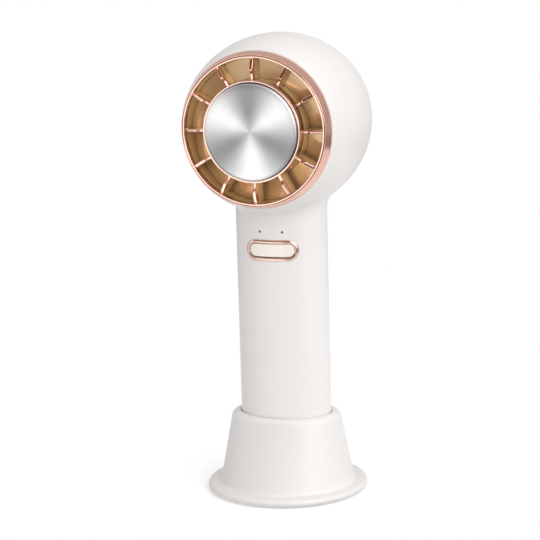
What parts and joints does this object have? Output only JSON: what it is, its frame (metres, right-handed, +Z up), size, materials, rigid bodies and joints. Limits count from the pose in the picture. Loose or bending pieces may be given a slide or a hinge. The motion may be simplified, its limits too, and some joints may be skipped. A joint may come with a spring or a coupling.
{
  "type": "handheld electric fan",
  "caption": "Handheld electric fan with a barrel head, ring outlet round a cold plate, oval handle with rocker button, and a flared base it lifts out of.",
  "frame": {"origin": "middle of the base, on the surface that it stands on", "axes": "+Z up along the handle; the outlet and the button face -Y; +X is to the right of someone who faces the outlet"},
  "size_m": [0.0778, 0.0754, 0.2031],
  "materials": {
    "shell_white": "fine satin, moulded warm white",
    "rose_gold": "polished rose gold plating",
    "bronze": "glossy bronze plated",
    "black_plastic": "moulded",
    "spun_aluminium": "spun, circular brushing",
    "thermal_pad": "soft pad",
    "ceramic": "fired ceramic plates",
    "foam": "closed cell foam",
    "cast_aluminium": "as extruded",
    "screw_steel": "zinc plated",
    "bearing_steel": "ground",
    "laminated_steel": "stacked laminations",
    "copper": "enamelled copper wire",
    "circuit_board": "solder mask",
    "magnet": "bonded magnet",
    "key_cream": "pearl champagne",
    "switch_body": "moulded",
    "lens_dark": "smoked light pipe",
    "led_body": "moulded epoxy",
    "cell_wrap": "shrink sleeve",
    "nickel": "nickel strip",
    "inner_white": "moulded",
    "port_steel": "drawn",
    "silicone": "soft silicone"
  },
  "bodies": {
    "stand": {"stand_shell": "shell_white", "stand_plate": "shell_white", "foot_ring": "silicone"},
    "fan": {"battery_cell": "cell_wrap", "bearing_front": "bearing_steel", "bearing_rear": "bearing_steel", "bottom_cap": "shell_white", "button_frame": "rose_gold", "cap_screws": "screw_steel", "cell_pad": "foam", "cell_tabs": "nickel", "chassis": "inner_white", "cold_plate": "spun_aluminium", "fan_duct": "black_plastic", "flow_guide": "bronze", "foam_ring": "foam", "front_grille": "rose_gold", "heat_sink": "cast_aluminium", "indicator_leds": "led_body", "indicator_lenses": "lens_dark", "main_board": "circuit_board", "main_housing": "shell_white", "motor_board": "circuit_board", "motor_mount": "black_plastic", "motor_screws": "screw_steel", "peltier_module": "ceramic", "plate_frame": "black_plastic", "rear_cover": "shell_white", "sink_screws": "screw_steel", "stator_coils": "copper", "stator_core": "laminated_steel", "tact_switches": "switch_body", "thermal_pads": "thermal_pad", "trim_ring": "rose_gold", "usb_board": "circuit_board", "usb_port": "port_steel"},
    "impeller": {"impeller": "bronze", "rotor_cup": "bearing_steel", "magnet_ring": "magnet", "motor_shaft": "bearing_steel", "shaft_clip": "screw_steel"},
    "button": {"button_key": "key_cream"}
  },
  "joints": [
    {"name": "fan_lift", "type": "slide", "parent": "stand", "child": "fan", "axis": [0, 0, 1], "range_m": [0, 0.06]},
    {"name": "impeller_spin", "type": "hinge", "parent": "fan", "child": "impeller", "pos_m": [0, 0, 0.1642], "axis": [0, 1, 0], "continuous": true},
    {"name": "button_rock", "type": "hinge", "parent": "fan", "child": "button", "pos_m": [0, -0.0131, 0.1101], "axis": [0, 0, 1], "range_deg": [-2.5, 2.5], "stiffness_Nm_per_rad": 0.24}
  ]
}
